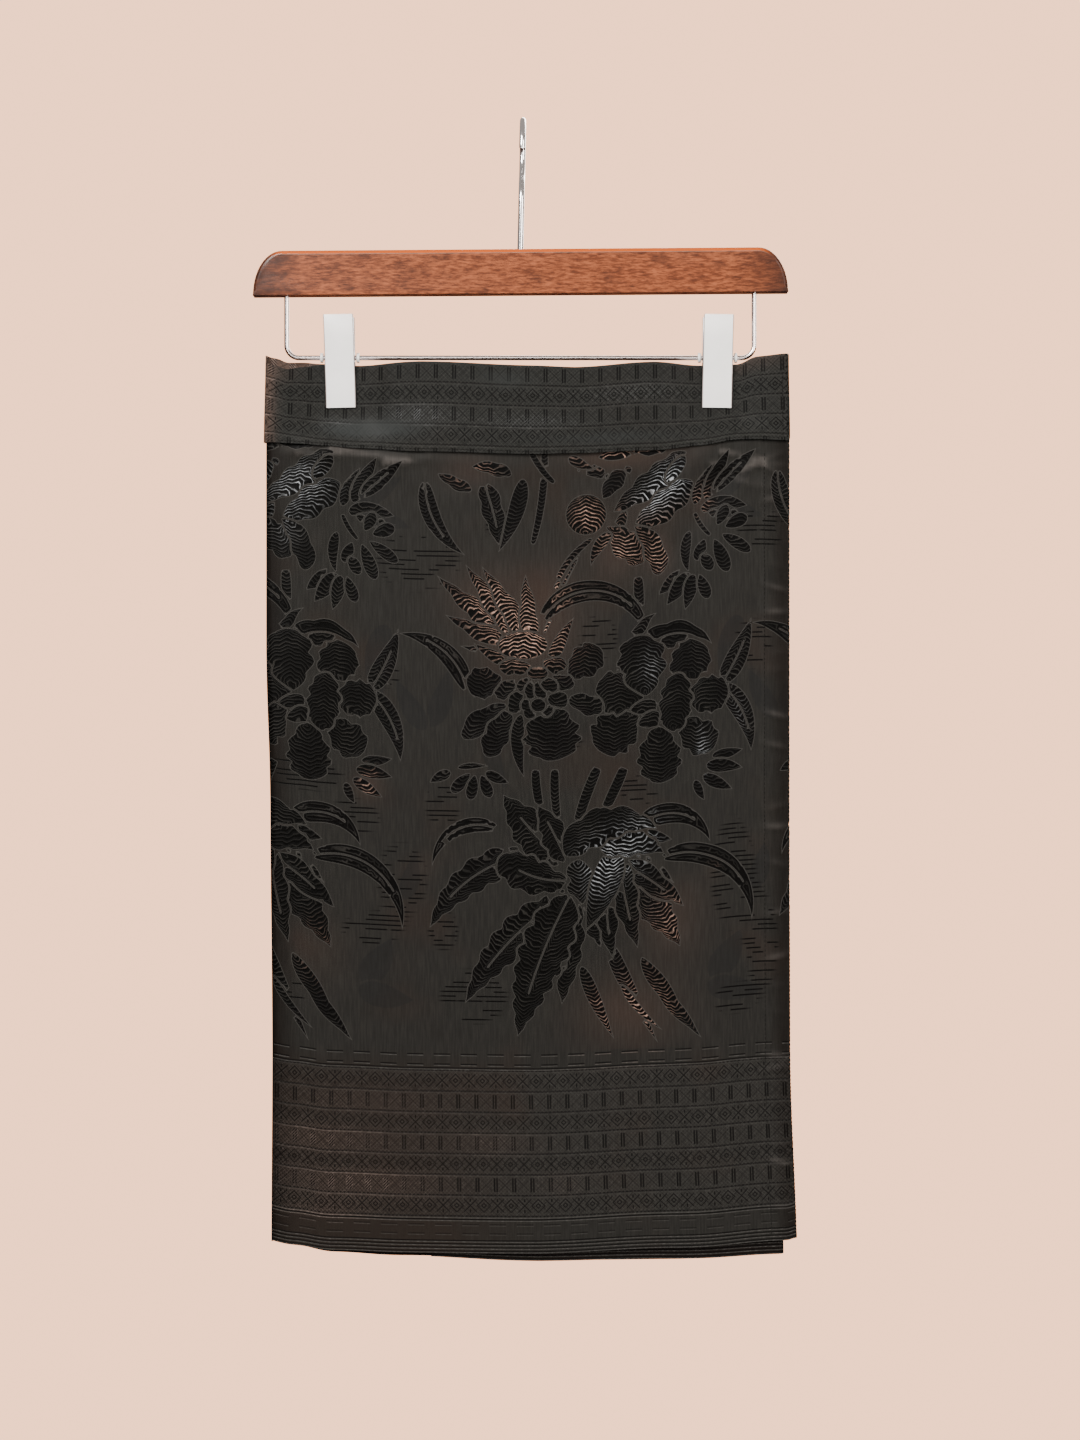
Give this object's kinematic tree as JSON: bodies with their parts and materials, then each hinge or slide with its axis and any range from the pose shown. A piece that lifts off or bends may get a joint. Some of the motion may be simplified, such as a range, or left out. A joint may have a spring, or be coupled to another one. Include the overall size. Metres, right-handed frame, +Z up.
{
  "type": "samping on a clip hanger",
  "caption": "Ready-made wrap samping in dark floral jacquard with woven border bands, hung flat by its waistband from a wooden clip hanger.",
  "frame": {"origin": "inside of the hook's crown, where it rests on a rail", "axes": "+Z up, +X along the hanger bar, the outer front faces -Y"},
  "size_m": [0.3662, 0.0439, 0.7713],
  "materials": {
    "jacquard": "satin ground with matt figured twill, dark warm grey and black",
    "border_cloth": "fine figured weave with a dull metallic glint",
    "wood": "red-brown stain under gloss lacquer",
    "chrome": "polished",
    "clip_metal": "satin nickel plate",
    "collar_plastic": "white, slightly soft"
  },
  "bodies": {
    "root": {"wrap_front": "jacquard", "wrap_back": "jacquard", "wrap_under": "jacquard", "waistband_front": "border_cloth", "waistband_back": "border_cloth", "waistband_under": "border_cloth", "hanger_bar": "wood", "hanger_hook": "chrome", "hanger_wire": "chrome", "clip_left_front_jaw": "clip_metal", "clip_left_back_jaw": "clip_metal", "clip_left_spring": "clip_metal", "collar_left_outer": "collar_plastic", "collar_left_inner": "collar_plastic", "clip_right_front_jaw": "clip_metal", "clip_right_back_jaw": "clip_metal", "clip_right_spring": "clip_metal", "collar_right_outer": "collar_plastic", "collar_right_inner": "collar_plastic"}
  },
  "joints": []
}
